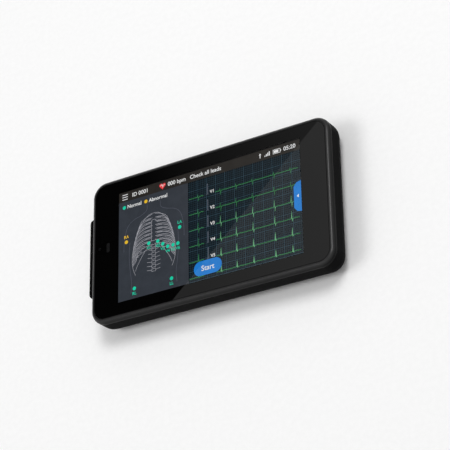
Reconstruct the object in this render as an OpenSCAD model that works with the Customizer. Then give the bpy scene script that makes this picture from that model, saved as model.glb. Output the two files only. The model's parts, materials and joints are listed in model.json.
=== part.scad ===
// Handheld ECG monitor: a landscape touch-screen recorder with a socket block for its patient leads.
// It lies on its back. The origin is the middle of the back face, X is its length and +Z faces the user.

/* [Screen] */
// Length of the lit area
screen_l = 121.8; // [112:0.1:130]
// Width of the lit area
screen_w = 68.5; // [64:0.1:74]
// Cover glass beyond the lit area at each end
glass_end = 16.4; // [16:0.1:20]
// Cover glass beyond the lit area along each side
glass_side = 7.8; // [7.4:0.1:12]
// Plan radius of the cover glass's corners
glass_r = 7; // [4:0.1:8]
// Thickness of the cover glass
glass_t = 1.1; // [0.7:0.1:1.4]
// Rounding of the cover glass's upper edge
glass_edge_r = 0.2; // [0.1:0.05:0.5]
// Black layer printed under the cover glass
print_t = 0.1; // [0.05:0.05:0.2]
// Touch film under the print
touch_t = 0.25; // [0.2:0.05:0.4]
// Display cell
cell_t = 1.1; // [0.8:0.1:1.3]
// Backlight
backlight_t = 1.2; // [0.8:0.1:1.5]
// Sheet of the display's steel tray
tray_t = 0.25; // [0.2:0.05:0.4]
// Display module beyond the lit area at each end
panel_end = 2.6; // [2:0.1:2.8]
// Display module beyond the lit area along each side
panel_side = 1.6; // [1.4:0.1:1.8]

/* [Housing] */
// Rim between the glass and the outside
rim_w = 2.6; // [2.5:0.1:3.5]
// Overall thickness
body_t = 19; // [18.6:0.1:21]
// Plan radius of the body's corners
corner_r = 9.4; // [9.1:0.1:12]
// Radius of the back's edge
back_r = 9; // [7:0.1:9]
// Radius of the front's edge
front_r = 2.3; // [1.5:0.1:2.4]
// Height of the front housing at the side
front_h = 3.6; // [3.2:0.1:4]
// Small rounding at the parting line
parting_r = 0.2; // [0.1:0.05:0.3]
// Moulded wall
wall = 2.2; // [2:0.1:2.4]
// Width of the rear wall's rebate that takes the front's tongue
rebate_w = 1.1; // [0.9:0.1:1.2]
// Depth of that rebate
rebate_h = 1.3; // [1.1:0.1:1.4]
// Height of the rubber seal in the rebate
seal_h = 0.35; // [0.2:0.05:0.5]
// Deck of the front housing under the glass
deck_t = 1.4; // [1:0.1:1.5]
// Adhesive under the glass
adhesive_t = 0.2; // [0.1:0.05:0.3]
// Ribs and short walls inside
rib_t = 1.2; // [1:0.1:1.5]
// Clearance between pieces that are assembled and don't move
seat_gap = 0.1; // [0.05:0.01:0.15]

/* [Lead socket] */
// How far the socket block stands out of the end
block_out = 4.8; // [4:0.1:6]
// Width of the socket block
block_w = 50; // [48:0.5:54]
// Depth of the block's top below the front
block_drop = 4.4; // [4.2:0.1:5]
// Plan radius of the block's corners
block_r = 2.5; // [1.5:0.1:3]
// Rounding of the block's edges
block_edge_r = 1; // [0.5:0.1:1.4]
// Thickness of the block's end wall
block_wall = 2.2; // [1.8:0.1:2.4]
// Thickness of the block's side walls
block_side = 1.6; // [1.2:0.1:2.4]
// Gap above and below the socket's flange
flange_gap = 0.1; // [0.05:0.05:0.2]
// Width of the socket's steel skirt
socket_w = 24.66; // [24:0.01:25]
// Height of the socket's steel skirt
socket_h = 7.9; // [7.6:0.01:8]
// Corner radius of the skirt
socket_r = 2.6; // [2:0.1:2.8]
// Room round the skirt for the plug's own skirt
plug_room = 0.9; // [0.8:0.05:0.95]
// Length of the skirt in front of its flange
socket_reach = 5.8; // [5.2:0.1:6]
// Width of the flange
flange_w = 39.1; // [38.8:0.1:40]
// Height of the flange
flange_h = 12.3; // [12:0.1:12.5]
// Sheet of the skirt and flange
socket_t = 0.4; // [0.3:0.05:0.5]
// Distance between the two screw locks
lock_spacing = 33.32; // [33:0.01:33.6]
// Across flats of a screw lock
lock_af = 4.75; // [4.5:0.05:4.8]
// Length of a screw lock's head
lock_head = 3.2; // [2.6:0.1:3.6]
// Radius of the thread in a screw lock
lock_bore_r = 1.1; // [1:0.05:1.3]
// Radius of a screw lock's stud
lock_stud_r = 1.4; // [1.3:0.05:1.45]
// Distance between contacts in a row
contact_pitch = 2.77; // [2.7:0.01:2.8]
// Distance between the two rows
contact_rows = 2.84; // [2.7:0.01:2.9]
// Outer radius of a contact
contact_r = 0.8; // [0.7:0.05:0.85]

/* [Keys] */
// Height of both keys
key_h = 3.4; // [3:0.1:3.5]
// Length of the power key
power_l = 10; // [8:0.5:12]
// Length of the volume rocker
rocker_l = 24; // [22:0.5:26]
// How far the keys stand out
key_out = 0.8; // [0.5:0.1:1]
// Rounding of a key's outer edge
key_edge_r = 0.5; // [0.2:0.1:0.7]
// Gap round a key in its slot
key_gap = 0.15; // [0.1:0.05:0.2]
// Gap at the ends of the rocker, which also tilts
rocker_gap = 0.35; // [0.3:0.05:0.4]
// Travel of the power key
key_travel = 0.4; // [0.3:0.05:0.45]
// Radius of the rocker's pin
pin_r = 0.5; // [0.4:0.05:0.6]
// Clearance of the rocker's bore on its pin
pin_fit = 0.04; // [0.02:0.01:0.08]
// Distance of the power key from the body's middle
power_x = 54; // [52:0.5:56]
// Distance of the volume rocker from the body's middle
rocker_x = 30; // [28:0.5:32]

/* [Inside] */
// Thickness of the chassis plate
chassis_t = 1.1; // [0.8:0.1:1.2]
// Inset of the corner screws from the body's ends
screw_end = 12.5; // [12:0.1:13]
// Inset of the corner screws from the body's sides
screw_side = 13.1; // [12.8:0.1:14]
// Radius of a housing screw
screw_r = 1; // [0.8:0.05:1.1]
// Radius of its head
screw_head_r = 2.2; // [2:0.1:2.4]
// Length of its thread
screw_l = 10; // [8:0.5:11]
// Depth of its counterbore
screw_sink = 3; // [2.6:0.1:3.4]
// Top of the rear bosses
boss_top = 9; // [8:0.1:10]
// Thickness of the ECG board
ecg_t = 1.6; // [1.2:0.1:1.8]
// Thickness of the main board
main_t = 1; // [0.8:0.1:1.2]
// Space between the chassis and the main board
main_drop = 1.9; // [1.8:0.1:2.2]
// Battery length
battery_l = 68; // [60:1:70]
// Battery width
battery_w = 54; // [50:1:56]
// Battery thickness
battery_t = 6.9; // [5:0.1:7]
// Adhesive pad under the battery
pad_t = 0.3; // [0.2:0.05:0.4]
// Radius of the loudspeaker
speaker_r = 9; // [8:0.5:10]
// Thickness of the loudspeaker
speaker_t = 4; // [3:0.1:5]
// Slots in the back over the loudspeaker
slot_count = 7; // [5:1:9]
// Width of each slot
slot_w = 1.2; // [0.8:0.1:1.4]
// Distance between slots
slot_pitch = 2.2; // [2:0.1:2.4]
// Radius of the vibration motor
motor_r = 5; // [4:0.5:5.5]
// Width of the charging socket
usb_w = 8.94; // [8.8:0.01:9]
// Height of the charging socket
usb_h = 3.16; // [3.1:0.01:3.3]
// Depth of the charging socket
usb_l = 7.35; // [6.5:0.05:8]
// Place of the charging socket along the side
usb_x = 30; // [26:0.5:36]
// Inset of the loudspeaker's middle from the end
speaker_end = 19.2; // [19:0.1:20]

/* [Hidden] */
$fn = 64;
cut = 1; // how far a cutting solid runs past what it cuts

// Outside, and levels from the back face upwards.
glass_l = screen_l + 2 * glass_end;
glass_w = screen_w + 2 * glass_side;
body_l = glass_l + 2 * rim_w;
body_w = glass_w + 2 * rim_w;
split_z = body_t - front_h;
glass_z = body_t - glass_t;
print_z = glass_z - print_t;
touch_z = print_z - touch_t;
cell_z = touch_z - cell_t;
backlight_z = cell_z - backlight_t;
tray_z = backlight_z - tray_t;
deck_z = print_z - adhesive_t - deck_t;
chassis_z = tray_z - chassis_t;
inner_x = body_l / 2 - wall;
inner_y = body_w / 2 - wall;
panel_l = screen_l + 2 * panel_end;
panel_w = screen_w + 2 * panel_side;
panel_gap = 0.4;
window_l = panel_l + 2 * panel_gap;
window_w = panel_w + 2 * panel_gap;

// Battery between its fences, and the loudspeaker beside it.
fence_gap = 0.3;
fence_h = 4;
speaker_x = body_l / 2 - speaker_end;
battery_x = speaker_x - speaker_r - 3 - 2 * rib_t - fence_gap - battery_l / 2;
battery_z = wall + pad_t;
speaker_z = wall + 0.3;
motor_y = speaker_r + 2 * rib_t + motor_r + 4;
motor_t = 3;

// Corner screws, and the two beside the middle of the battery.
screw_x = body_l / 2 - screw_end;
screw_y = body_w / 2 - screw_side;
middle_x = battery_x;
middle_y = battery_w / 2 + 2 * rib_t + 3.6;
boss_r = screw_head_r + 1.4;
front_boss_r = 2.9;
sink_r = screw_head_r + 0.4;
screw_head_h = 1.6;
thread_gap = 0.02;
shank_gap = 0.1; // round a screw that passes through a sheet or a board

// Socket block at the -X end.
block_x = -body_l / 2 - block_out;
block_z = body_t - block_drop;
block_roof = (block_z - flange_h - 2 * flange_gap) / 2;
socket_z = block_z / 2;
flange_x = block_x + 0.1 + socket_reach;
lock_y = lock_spacing / 2;
lock_room_r = lock_af / sqrt(3) + seat_gap;
lock_boss_r = lock_room_r + 1.2;
insulator_l = 7.2;
insulator_w = 23;
insulator_h = 9.6;
contact_bore = 5; // depth of the bore in each contact, and of the thread in each screw lock
tail_l = 3.5;
tail_w = 0.6;
tail_t = 0.75;
nut_af = 6;
nut_h = 2.2;
stud_l = 7;

// ECG board, level with the middle of the socket.
ecg_z = socket_z - ecg_t / 2;
ecg_x0 = flange_x + socket_t + insulator_l + 0.4;
ecg_l = 38;
ecg_w = 54;
ecg_hole_x = [ecg_x0 + 6, ecg_x0 + ecg_l - 4];
ecg_hole_y = ecg_w / 2 - 3.2;
ecg_chip = [5, 4, 1.2];
shield_gap = 0.25;
small_r = 0.8;
small_head_r = 1.6;
small_head_h = 1.1;
small_l = 3.6;

// Main board, hung from the chassis.
main_top = chassis_z - main_drop;
main_z = main_top - main_t;
main_x0 = battery_x - 21;
main_x1 = body_l / 2 - 8;
main_y0 = -body_w / 2 + 10;
main_y1 = body_w / 2 - 3.6;
main_hole_x = [main_x0 + 4, main_x1 - 19.9];
main_hole_y = battery_w / 2 + 2.5;
main_shield_l = 34;
main_shield_w = 30;
main_shield_h = 1.5;
chassis_hole_x = body_l / 2 - 7.4;
chassis_hole_y = flange_w / 2 + 4.4;
link_t = 0.2;
link_w = 16;
link_z = battery_z + battery_t + 0.2;
link_end = 4; // how far its ends lie on the boards' plugs
link_plug_x = [ecg_x0 + ecg_l - 2.5, main_x0 + 3.5];
flex_x = window_l / 2 - 3.6;
flex_w = 18;
flex_l = 3.8;
flex_plug_h = 0.9;
rib_step = 32;
antenna_l = 40;
antenna_h = 4;
antenna_t = 0.4;

// Earpiece and light sensor at the -X end of the glass.
ear_x = -glass_l / 2 + 9.15;
ear_y = 1.7;
ear_l = 6.2;
ear_w = 2.5;
ear_sink = 0.25; // depth of the earpiece's mesh below the glass
receiver = [6, 12, 2];
sensor_x = -glass_l / 2 + 2.9;
sensor_y = 2.3;
sensor_r = 0.9;
sensor_body = 3.4;

// Keys in the +Y wall.
lip_t = 0.9;
lip_l = 1.5;
rocker_back = 0.65;
power_back = 0.15;
pin_y = inner_y - 2.1;
ear_t = 1.2;
key_z = chassis_z - seat_gap - ear_t - key_gap - key_h / 2;
switch_y = inner_y - 2.6;
switch_rest = 0.05;
switch_l = 3.5;
switch_t = 1.25;
plunger_t = 0.3;
key_board_t = 0.8;
key_board_y = switch_y - plunger_t - switch_t;
key_board_x = [-power_x - power_l / 2 - 3, -rocker_x + rocker_l / 2 + 4];
key_board_h = 4;
rail_w = 2.4;
rail_depth = 1.4;
press_x = 8.5;
press_r = 0.9;
press_gap = 0.38; // between the level rocker's posts and their switches
lug_w = 3.2;
lug_in = 1.3; // how far the lugs and the rocker's eye reach past the pin's axis
pin_sink = 0.3; // depth of the pin's end inside its blind lug

// Outline with rounded corners: arcs of radius r about the given centres, taken anticlockwise.
function outward(points, k, r) =
    let (d = points[(k + 1) % len(points)] - points[k]) [d[1], -d[0]] * r / norm(d);

module rounded(points, r) {
    n = len(points);
    polygon([for (k = [0 : n - 1]) each
        [points[k] + outward(points, (k + n - 1) % n, r), points[k] + outward(points, k, r)]]);
    for (p = points) translate(p) circle(r);
}

function corners(l, w, r) =
    [[r - l / 2, r - w / 2], [l / 2 - r, r - w / 2], [l / 2 - r, w / 2 - r], [r - l / 2, w / 2 - r]];

module plate(l, w, r, h) linear_extrude(h) rounded(corners(l, w, r), r);

module ring(l, w, r, t, h) difference() {
    plate(l, w, r, h);
    translate([0, 0, -cut]) plate(l - 2 * t, w - 2 * t, max(r - t, 0.2), h + 2 * cut);
}

// Slot with round ends between two points of a plane.
module slot(a, b, r, h) linear_extrude(h) rounded([a, b], r);

// Turns what is drawn on the XY plane, rising along Z, to face along -X or +Y.
module facing_x() rotate([90, 0, 90]) children();
module facing_y() rotate([-90, 0, 0]) children();

// Section through the edge of a slab, from the corner's own axis out to its side.
module edge_profile(corner, h, top_r, bottom_r) difference() {
    square([corner, h]);
    if (top_r > 0) translate([corner - top_r, h - top_r]) corner_cut(top_r);
    if (bottom_r > 0) translate([corner - bottom_r, bottom_r]) mirror([0, 1]) corner_cut(bottom_r);
}

module corner_cut(r) difference() {
    square(r + cut);
    circle(r);
}

// Slab on z = 0 with rounded corners in plan and its own radius along the top and bottom edges.
module pillow(size, corner, top_r, bottom_r) {
    sx = size[0] / 2 - corner;
    sy = size[1] / 2 - corner;
    for (a = [0, 1], b = [0, 1]) mirror([a, 0, 0]) mirror([0, b, 0])
        translate([sx, sy, 0]) rotate_extrude(angle = 90) edge_profile(corner, size[2], top_r, bottom_r);
    for (b = [0, 1]) mirror([0, b, 0])
        translate([-sx, sy, 0]) facing_x() linear_extrude(2 * sx) edge_profile(corner, size[2], top_r, bottom_r);
    for (a = [0, 1]) mirror([a, 0, 0])
        translate([sx, sy, 0]) rotate([90, 0, 0]) linear_extrude(2 * sy)
            edge_profile(corner, size[2], top_r, bottom_r);
    translate([-sx, -sy, 0]) cube([2 * sx, 2 * sy, size[2]]);
}

module at_corners(x, y) for (a = [-1, 1], b = [-1, 1]) translate([a * x, b * y, 0]) children();

module at_middle() for (b = [-1, 1]) translate([middle_x, b * middle_y, 0]) children();

module tube(r, bore, h) difference() {
    cylinder(h = h, r = r);
    translate([0, 0, -cut]) cylinder(h = h + 2 * cut, r = bore);
}

// ---- Screen stack ----

module cover_glass() color([0.10, 0.11, 0.12, 0.5]) translate([0, 0, glass_z]) difference() {
    pillow([glass_l, glass_w, glass_t], glass_r, glass_edge_r, 0);
    ear_slot(0, glass_t);
}

module ear_slot(extra, h) translate([ear_x, ear_y, -cut])
    slot([0, -(ear_l - ear_w) / 2], [0, (ear_l - ear_w) / 2], ear_w / 2 + extra, h + 2 * cut);

module border_print() color([0.01, 0.01, 0.012]) translate([0, 0, print_z]) difference() {
    plate(glass_l - 2 * seat_gap, glass_w - 2 * seat_gap, glass_r - seat_gap, print_t);
    translate([-screen_l / 2, -screen_w / 2, -cut]) cube([screen_l, screen_w, print_t + 2 * cut]);
    ear_slot(0, print_t);
    translate([sensor_x, sensor_y, -cut]) cylinder(h = print_t + 2 * cut, r = sensor_r);
}

module touch_film() color([0.3, 0.32, 0.34, 0.6]) translate([0, 0, touch_z])
    plate(panel_l, panel_w, 0.5, touch_t);

module glass_adhesive() color([0.03, 0.03, 0.03]) translate([0, 0, print_z - adhesive_t])
    ring(glass_l - 0.8, glass_w - 0.8, glass_r - 0.4, 1.4, adhesive_t);

module lcd_cell() color([0.06, 0.08, 0.12]) translate([0, 0, cell_z])
    plate(panel_l - 2 * tray_t - seat_gap, panel_w - 2 * tray_t - seat_gap, 0.4, cell_t);

module backlight() color([0.9, 0.92, 0.95]) translate([0, 0, backlight_z])
    plate(panel_l - 2 * tray_t - seat_gap, panel_w - 2 * tray_t - seat_gap, 0.4, backlight_t);

module lcd_tray() color([0.7, 0.71, 0.73]) translate([0, 0, tray_z]) difference() {
    plate(panel_l, panel_w, 0.6, tray_t + backlight_t + cell_t / 2);
    translate([0, 0, tray_t]) plate(panel_l - 2 * tray_t, panel_w - 2 * tray_t, 0.4, body_t);
}

module earpiece_mesh() color([0.12, 0.12, 0.13]) translate([ear_x, ear_y, deck_z + deck_t]) {
    h = body_t - ear_sink - deck_z - deck_t;
    straight = (ear_l - ear_w) / 2;
    difference() {
        slot([0, -straight], [0, straight], ear_w / 2 - seat_gap, h);
        for (i = [-1 : 1], j = [-3 : 3]) if (abs(j) < 3 || i == 0)
            translate([i * 0.7, j * 0.75, -cut]) cylinder(h = h + 2 * cut, r = 0.2);
    }
}

module earpiece_receiver() color([0.2, 0.2, 0.21]) translate([ear_x, ear_y, deck_z - receiver[2]])
    plate(receiver[0], receiver[1], 1.2, receiver[2]);

module front_sensor() color([0.08, 0.07, 0.09]) translate([sensor_x, sensor_y, 0]) {
    translate([0, 0, deck_z - 1]) plate(sensor_body, sensor_body, 0.3, 1);
    translate([0, 0, deck_z]) cylinder(h = print_z - deck_z, r = sensor_r - seat_gap);
}

// ---- Housing ----

module front_housing() color([0.055, 0.057, 0.06]) difference() {
    union() {
        difference() {
            translate([0, 0, split_z]) pillow([body_l, body_w, front_h], corner_r, front_r, parting_r);
            translate([0, 0, split_z - cut])
                plate(body_l - 2 * wall, body_w - 2 * wall, corner_r - wall, deck_z - split_z + cut);
        }
        translate([0, 0, split_z - rebate_h + seal_h + seat_gap / 2]) front_tongue();
        translate([0, 0, tray_z]) ring(window_l + 2 * rib_t, window_w + 2 * rib_t, 1.4, rib_t, deck_z - tray_z + 0.2);
        front_ribs();
        at_corners(screw_x, screw_y) translate([0, 0, boss_top]) cylinder(h = deck_z - boss_top + 0.2, r = front_boss_r);
        at_corners(chassis_hole_x, chassis_hole_y) translate([0, 0, tray_z])
            cylinder(h = deck_z - tray_z + 0.2, r = small_r + 1.4);
    }
    translate([0, 0, deck_z + deck_t])
        plate(glass_l + 2 * seat_gap, glass_w + 2 * seat_gap, glass_r + seat_gap, body_t);
    translate([0, 0, tray_z - cut]) plate(window_l, window_w, 0.6, body_t);
    at_corners(screw_x, screw_y) translate([0, 0, boss_top - cut])
        cylinder(h = screw_l + 1, r = screw_r + thread_gap);
    at_corners(chassis_hole_x, chassis_hole_y) translate([0, 0, tray_z - cut])
        cylinder(h = cut + small_l - chassis_t + 0.3, r = small_r + thread_gap);
    translate([0, 0, deck_z]) ear_slot(-0.3, deck_t);
    translate([sensor_x, sensor_y, deck_z - cut]) cylinder(h = deck_t + 2 * cut, r = sensor_r);
}

// Tongue that runs round inside the rear housing's rebate.
module front_tongue()
    ring(body_l - 2 * (wall - rebate_w + seat_gap), body_w - 2 * (wall - rebate_w + seat_gap),
        corner_r - wall + rebate_w - seat_gap, rebate_w - seat_gap, rebate_h);

// Ribs between the display window and the outer wall, under the deck.
module front_ribs() {
    y = window_w / 2 + rib_t - 0.3;
    for (b = [0, 1], k = [-1.5 : 1.5]) mirror([0, b, 0])
        translate([k * rib_step - rib_t / 2, y, tray_z]) cube([rib_t, inner_y + 0.3 - y, deck_z - tray_z + 0.2]);
}

module housing_seal() color([0.09, 0.09, 0.1]) translate([0, 0, split_z - rebate_h])
    ring(body_l - 2 * (wall - rebate_w + seat_gap), body_w - 2 * (wall - rebate_w + seat_gap),
        corner_r - wall + rebate_w - seat_gap, rebate_w - seat_gap, seal_h);

module rear_housing() color([0.045, 0.045, 0.047]) difference() {
    union() {
        rear_shell();
        rear_bosses();
        floor_fences();
        key_supports();
        lock_bosses();
    }
    at_corners(screw_x, screw_y) screw_hole();
    at_middle() screw_hole();
    for (x = ecg_hole_x, b = [-1, 1]) translate([x, b * ecg_hole_y, ecg_z + small_head_h - small_l])
        cylinder(h = small_l + cut, r = small_r + thread_gap);
    speaker_slots();
    lock_holes();
    translate([0, 0, socket_z]) translate([block_x - cut, 0, 0]) facing_x()
        linear_extrude(flange_x - block_x + cut) d_outline(plug_room);
    key_slots();
    usb_opening();
}

module rear_shell() difference() {
    union() {
        pillow([body_l, body_w, split_z], corner_r, parting_r, back_r);
        socket_block();
    }
    translate([0, 0, wall])
        pillow([body_l - 2 * wall, body_w - 2 * wall, body_t], corner_r - wall, 0, back_r - wall);
    translate([0, 0, split_z - rebate_h])
        plate(body_l - 2 * (wall - rebate_w), body_w - 2 * (wall - rebate_w), corner_r - wall + rebate_w, body_t);
    translate([block_x + block_wall, -block_w / 2 + block_side, block_roof])
        cube([block_out + wall + 4, block_w - 2 * block_side, block_z - 2 * block_roof]);
}

module socket_block() {
    l = block_out + corner_r + block_r;
    translate([block_x + l / 2, 0, 0]) pillow([l, block_w, block_z], block_r, block_edge_r, block_edge_r);
}

module rear_bosses() {
    at_corners(screw_x, screw_y) translate([0, 0, wall / 2]) cylinder(h = boss_top - wall / 2, r = boss_r);
    at_middle() translate([0, 0, wall / 2]) cylinder(h = boss_top - wall / 2, r = boss_r);
    for (x = ecg_hole_x, b = [-1, 1]) translate([x, b * ecg_hole_y, wall / 2])
        cylinder(h = ecg_z - wall / 2, r = small_r + 1.4);
}

module screw_hole() translate([0, 0, -cut]) {
    cylinder(h = screw_sink + cut, r = sink_r);
    cylinder(h = boss_top + 2 * cut, r = screw_r + 0.3);
}

// Walls that locate the battery, the loudspeaker and the vibration motor on the floor.
module floor_fences() {
    l = battery_l + 2 * fence_gap + 2 * rib_t;
    w = battery_w + 2 * fence_gap + 2 * rib_t;
    translate([battery_x, 0, wall / 2]) difference() {
        ring(l, w, 1.5, rib_t, fence_h + wall / 2);
        for (a = [0, 90]) rotate(a) translate([-l, -battery_w / 4, wall / 2 + 0.5])
            cube([2 * l, battery_w / 2, fence_h]);
    }
    translate([speaker_x, 0, wall / 2]) tube(speaker_r + seat_gap + rib_t, speaker_r + seat_gap, 3 + wall / 2);
    translate([speaker_x, motor_y, wall / 2]) tube(motor_r + seat_gap + rib_t, motor_r + seat_gap, 2 + wall / 2);
}

module speaker_slots() for (i = [0 : slot_count - 1]) {
    x = (i - (slot_count - 1) / 2) * slot_pitch;
    reach = sqrt((speaker_r - 1.4) ^ 2 - x ^ 2) - slot_w / 2;
    translate([speaker_x + x, 0, -cut]) slot([0, -reach], [0, reach], slot_w / 2, wall + 2 * cut);
}

// Two lugs for the rocker's pin, and the two grooved rails that hold the key board.
module key_supports() {
    for (z = [key_z - key_h / 2 - key_gap - ear_t, key_z + key_h / 2 + key_gap])
        translate([-rocker_x - lug_w / 2, pin_y - lug_in, z])
            cube([lug_w, inner_y - pin_y + lug_in + wall / 2, ear_t]);
    difference() {
        for (x = key_board_x) translate([x - rail_w / 2, key_board_y - key_board_t - 1, key_z - key_board_h / 2 - 1])
            cube([rail_w, inner_y - key_board_y + key_board_t + 1 + wall / 2, key_board_h + 1.5]);
        translate([key_board_x[0] + rail_w / 2 - rail_depth, key_board_y - key_board_t - seat_gap / 2,
            key_z - key_board_h / 2])
            cube([key_board_x[1] - key_board_x[0] - rail_w + 2 * rail_depth, key_board_t + seat_gap, body_t]);
    }
}

module key_slots() {
    translate([-power_x, 0, key_z]) key_slot(power_l + 2 * key_gap, key_h + 2 * key_gap);
    translate([-rocker_x, 0, key_z]) key_slot(rocker_l + 2 * rocker_gap, key_h + 2 * key_gap);
    translate([-rocker_x, pin_y, key_z - key_h / 2 - key_gap - ear_t + pin_sink])
        cylinder(h = body_t, r = pin_r);
}

module key_slot(l, h) translate([0, inner_y - 0.01, 0]) facing_y() plate(l, h, h / 2 - 0.05, wall + cut);

module usb_opening() translate([usb_x, inner_y - cut, main_z - usb_h / 2]) facing_y()
    plate(usb_w + 0.5, usb_h + 0.5, (usb_h + 0.5) / 2 - 0.01, wall + 2 * cut);

module housing_screws() color([0.2, 0.2, 0.21]) {
    at_corners(screw_x, screw_y) housing_screw();
    at_middle() housing_screw();
}

// Pan head with a hexagon socket. It seats on the floor of its counterbore.
module housing_screw() translate([0, 0, screw_sink]) {
    cylinder(h = screw_l, r = screw_r);
    mirror([0, 0, 1]) difference() {
        pan_head(screw_head_r, screw_head_h);
        translate([0, 0, screw_head_h - 0.9]) cylinder(h = 2, r = 1, $fn = 6);
    }
}

module pan_head(r, h) rotate_extrude() difference() {
    square([r, h]);
    translate([r - 0.5, h - 0.5]) corner_cut(0.5);
}

module small_screw(l) {
    translate([0, 0, -l]) cylinder(h = l, r = small_r);
    difference() {
        pan_head(small_head_r, small_head_h);
        translate([0, 0, small_head_h - 0.6]) cylinder(h = 2, r = 0.7, $fn = 6);
    }
}

// ---- Chassis ----

module chassis() color([0.72, 0.73, 0.75]) difference() {
    union() {
        translate([0, 0, chassis_z])
            plate(body_l - 2 * wall - 1.2, body_w - 2 * wall - 1.2, corner_r - wall - 0.6, chassis_t);
        at_middle() translate([0, 0, boss_top]) cylinder(h = chassis_z - boss_top + 0.2, r = 2.2);
        for (x = main_hole_x, b = [-1, 1]) translate([x, b * main_hole_y, main_top])
            cylinder(h = main_drop + 0.2, r = 2);
        for (x = [0.5, 0.8] * ecg_l) translate([ecg_x0 + x, 3 - ecg_w / 2, chassis_z - 0.8])
            cube([rib_t, ecg_w - 6, 1]);
    }
    at_corners(screw_x, screw_y) translate([0, 0, chassis_z - cut])
        cylinder(h = chassis_t + 2 * cut, r = front_boss_r + 0.3);
    at_corners(chassis_hole_x, chassis_hole_y) translate([0, 0, chassis_z - cut])
        cylinder(h = chassis_t + 2 * cut, r = small_r + shank_gap);
    at_middle() translate([0, 0, boss_top - cut]) cylinder(h = screw_l - 1.6, r = screw_r + thread_gap);
    for (x = main_hole_x, b = [-1, 1]) translate([x, b * main_hole_y, main_top - cut])
        cylinder(h = cut + small_l - main_t + 0.2, r = small_r + thread_gap);
    translate([ear_x, ear_y, chassis_z - cut])
        plate(receiver[0] + 0.6, receiver[1] + 0.6, 1.4, chassis_t + 2 * cut);
    translate([sensor_x, sensor_y, chassis_z - cut])
        plate(sensor_body + 0.6, sensor_body + 0.6, 0.4, chassis_t + 2 * cut);
    translate([flex_x - 1, -flex_w / 2 - 1, chassis_z - cut]) cube([2.2, flex_w + 2, chassis_t + 2 * cut]);
    for (x = [main_x0 - 11, main_x0 + 33]) translate([x, 0, chassis_z - cut])
        plate(22, 30, 3, chassis_t + 2 * cut);
}

module chassis_screws() color([0.75, 0.75, 0.77]) at_corners(chassis_hole_x, chassis_hole_y)
    translate([0, 0, chassis_z]) mirror([0, 0, 1]) small_screw(small_l);

// ---- Main board ----

module main_board() color([0.05, 0.22, 0.13]) translate([0, 0, main_z]) difference() {
    translate([(main_x0 + main_x1) / 2, (main_y0 + main_y1) / 2, 0])
        plate(main_x1 - main_x0, main_y1 - main_y0, 2, main_t);
    for (b = [-1, 1]) translate([screw_x, b * screw_y, -cut]) cylinder(h = main_t + 2 * cut, r = front_boss_r + 0.4);
    at_middle() translate([0, 0, -cut]) cylinder(h = main_t + 2 * cut, r = 2.5);
    for (x = main_hole_x, b = [-1, 1]) translate([x, b * main_hole_y, -cut])
        cylinder(h = main_t + 2 * cut, r = small_r + shank_gap);
}

module main_screws() color([0.75, 0.75, 0.77]) for (x = main_hole_x, b = [-1, 1])
    translate([x, b * main_hole_y, main_z]) mirror([0, 0, 1]) small_screw(small_l - 0.2);

module chip(x, y, size) translate([x - size[0] / 2, y - size[1] / 2, 0]) cube(size);

module main_chips() color([0.05, 0.05, 0.055]) {
    translate([0, 0, main_top]) {
        for (i = [0 : 3]) chip(main_x0 + 11 + 7 * i, main_y1 - 21, [4, 4, 1]);
        for (i = [0 : 4]) chip(main_x0 + 13 + 6 * i, main_y0 + 9.5, [3, 2, 0.9]);
        chip(main_x0 + 49, 12, [9, 9, 1.1]);
        chip(flex_x - 2.6, 0, [3, flex_w + 2, flex_plug_h]);
    }
    translate([0, 0, link_z + link_t]) chip(link_plug_x[1], 0, [4, link_w + 1, main_z - link_z - link_t]);
}

module main_shield() color([0.78, 0.79, 0.8]) translate([main_x0 + 25, -4, main_top])
    can(main_shield_l, main_shield_w, main_shield_h);

// Shielding can, open below.
module can(l, w, h) difference() {
    plate(l, w, 0.8, h);
    translate([0, 0, -cut]) plate(l - 2 * shield_gap, w - 2 * shield_gap, 0.5, h - shield_gap + cut);
}

// Ribbon that leaves the underside of the display, drops through the chassis and ends in its plug.
module display_flex() color([0.75, 0.45, 0.1]) translate([flex_x, flex_w / 2, 0]) rotate([90, 0, 0])
    linear_extrude(flex_w) {
        z = main_top + flex_plug_h;
        polygon([[0, tray_z], [link_t, tray_z], [link_t, z], [-flex_l, z], [-flex_l, z + link_t], [0, z + link_t]]);
    }

// Flat ribbon between the two boards, over the end of the battery.
module board_link() color([0.75, 0.45, 0.1]) translate([link_plug_x[0] - link_end / 2, -link_w / 2, link_z])
    cube([link_plug_x[1] - link_plug_x[0] + link_end, link_w, link_t]);

// ---- ECG board ----

module ecg_board() color([0.05, 0.22, 0.13]) translate([0, 0, ecg_z]) difference() {
    translate([ecg_x0 + ecg_l / 2, 0, 0]) plate(ecg_l, ecg_w, 1.5, ecg_t);
    for (x = ecg_hole_x, b = [-1, 1]) translate([x, b * ecg_hole_y, -cut])
        cylinder(h = ecg_t + 2 * cut, r = small_r + shank_gap);
}

module ecg_screws() color([0.75, 0.75, 0.77]) for (x = ecg_hole_x, b = [-1, 1])
    translate([x, b * ecg_hole_y, ecg_z + ecg_t]) small_screw(small_l);

module ecg_chips() color([0.05, 0.05, 0.055]) {
    translate([0, 0, ecg_z + ecg_t]) {
        chip(link_plug_x[0], 0, [3.6, link_w + 1, link_z - ecg_z - ecg_t]);
        for (j = [-1, 1]) chip(ecg_x0 + 14, j * (ecg_w / 2 - 4.5), ecg_chip);
    }
    for (j = [-2 : 2]) translate([0, 0, ecg_z - ecg_chip[2]]) chip(ecg_x0 + ecg_l / 2 + 1, j * 8, ecg_chip);
}

module ecg_shield() color([0.78, 0.79, 0.8]) translate([ecg_x0 + ecg_l / 2, 0, ecg_z + ecg_t])
    can(ecg_l - 14, ecg_w - 18, 2.5);

// ---- Floor ----

module battery_pack() color([0.16, 0.17, 0.19]) translate([battery_x, 0, battery_z])
    pillow([battery_l, battery_w, battery_t], 2, 1, 1);

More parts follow.
